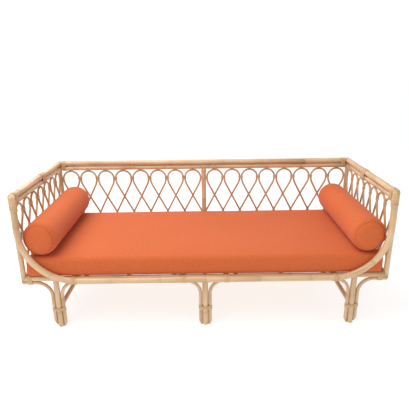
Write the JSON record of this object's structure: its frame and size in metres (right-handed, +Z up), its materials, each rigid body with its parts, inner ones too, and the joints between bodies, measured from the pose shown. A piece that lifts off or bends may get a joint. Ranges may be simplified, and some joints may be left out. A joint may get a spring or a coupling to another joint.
{
  "type": "daybed",
  "caption": "Rattan daybed with a bent front hoop, doubled pole rails, looped cane back and arms, slatted seat, box cushion and two bolsters.",
  "frame": {"origin": "on the floor, under the middle of the overall box", "axes": "+X along the long side, +Y from the open front towards the back, +Z up"},
  "size_m": [2.0036, 0.8386, 0.7768],
  "materials": {
    "rattan_pole": "satin",
    "bent_cane": "satin",
    "cane_binding": "satin",
    "slat_wood": "matte",
    "screw_steel": "satin",
    "cover_fabric": "matte",
    "soft_filling": "matte"
  },
  "bodies": {
    "frame": {"back_left_loops": "bent_cane", "back_left_ties": "cane_binding", "back_right_loops": "bent_cane", "back_right_ties": "cane_binding", "back_second_rail": "rattan_pole", "back_top_rail": "rattan_pole", "centre_post_bindings": "cane_binding", "centre_stretcher": "rattan_pole", "front_centre_leg": "rattan_pole", "front_centre_leg_braces": "rattan_pole", "front_hoop": "rattan_pole", "front_left_corner_binding": "cane_binding", "front_left_leg": "rattan_pole", "front_left_leg_braces": "rattan_pole", "front_left_post": "rattan_pole", "front_rail_wraps": "cane_binding", "front_right_corner_binding": "cane_binding", "front_right_leg": "rattan_pole", "front_right_leg_braces": "rattan_pole", "front_right_post": "rattan_pole", "left_arm_loops": "bent_cane", "left_arm_second_rail": "rattan_pole", "left_arm_ties": "cane_binding", "left_arm_top_rail": "rattan_pole", "left_seat_rail": "rattan_pole", "left_stretcher": "rattan_pole", "leg_bindings": "cane_binding", "leg_screws": "screw_steel", "mid_arm_bindings": "cane_binding", "rail_screws": "screw_steel", "rear_centre_leg": "rattan_pole", "rear_centre_leg_braces": "rattan_pole", "rear_centre_post": "rattan_pole", "rear_corner_bindings": "cane_binding", "rear_left_leg": "rattan_pole", "rear_left_leg_braces": "rattan_pole", "rear_left_post": "rattan_pole", "rear_rail_wraps": "cane_binding", "rear_right_leg": "rattan_pole", "rear_right_leg_braces": "rattan_pole", "rear_right_post": "rattan_pole", "right_arm_loops": "bent_cane", "right_arm_second_rail": "rattan_pole", "right_arm_ties": "cane_binding", "right_arm_top_rail": "rattan_pole", "right_seat_rail": "rattan_pole", "right_stretcher": "rattan_pole", "seat_bearers": "rattan_pole", "seat_corner_wraps": "cane_binding", "seat_front_rail": "rattan_pole", "seat_rear_rail": "rattan_pole", "seat_slats": "slat_wood", "slat_screws": "screw_steel"},
    "seat_cushion": {"cushion_cover": "cover_fabric", "cushion_foam": "soft_filling"},
    "left_bolster": {"left_bolster_cover": "cover_fabric", "left_bolster_filling": "soft_filling"},
    "right_bolster": {"right_bolster_cover": "cover_fabric", "right_bolster_filling": "soft_filling"}
  },
  "joints": [
    {"name": "cushion_lift", "type": "slide", "parent": "frame", "child": "seat_cushion", "axis": [0, 0, 1], "range_m": [0, 0.45]},
    {"name": "left_bolster_lift", "type": "slide", "parent": "seat_cushion", "child": "left_bolster", "axis": [0.35, 0, 0.9367], "range_m": [0, 0.35]},
    {"name": "right_bolster_lift", "type": "slide", "parent": "seat_cushion", "child": "right_bolster", "axis": [-0.35, 0, 0.9367], "range_m": [0, 0.35]}
  ]
}
